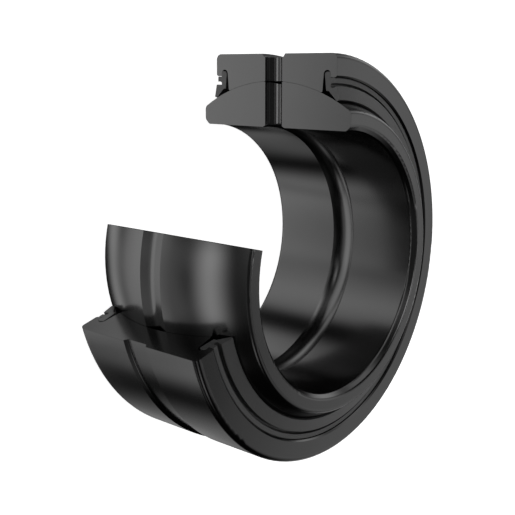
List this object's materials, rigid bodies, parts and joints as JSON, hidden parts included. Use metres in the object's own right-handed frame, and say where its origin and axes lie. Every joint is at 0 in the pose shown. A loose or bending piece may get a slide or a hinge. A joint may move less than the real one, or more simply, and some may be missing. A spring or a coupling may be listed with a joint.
{
  "type": "spherical plain bearing",
  "caption": "Sectioned radial spherical plain bearing: a steel inner ring with a spherical outside tilts in a steel outer ring, with a rubber lip seal at each end face.",
  "frame": {"origin": "centre of the sphere, which is also the middle of the bore", "axes": "+Z along the bore's axis, +X in the section face that all four pieces share, +Y towards the removed wedge"},
  "size_m": [0.047, 0.0462, 0.022],
  "materials": {
    "bearing_steel": "dark satin",
    "seal_rubber": "matt"
  },
  "bodies": {
    "inner_ring": {"inner_ring": "bearing_steel"},
    "outer_ring": {"outer_ring": "bearing_steel", "upper_seal": "seal_rubber", "lower_seal": "seal_rubber"}
  },
  "joints": [
    {"name": "misalignment_tilt", "type": "hinge", "parent": "inner_ring", "child": "outer_ring", "pos_m": [0, 0, 0], "axis": [0, 1, 0], "range_deg": [-4.5, 4.5]}
  ]
}
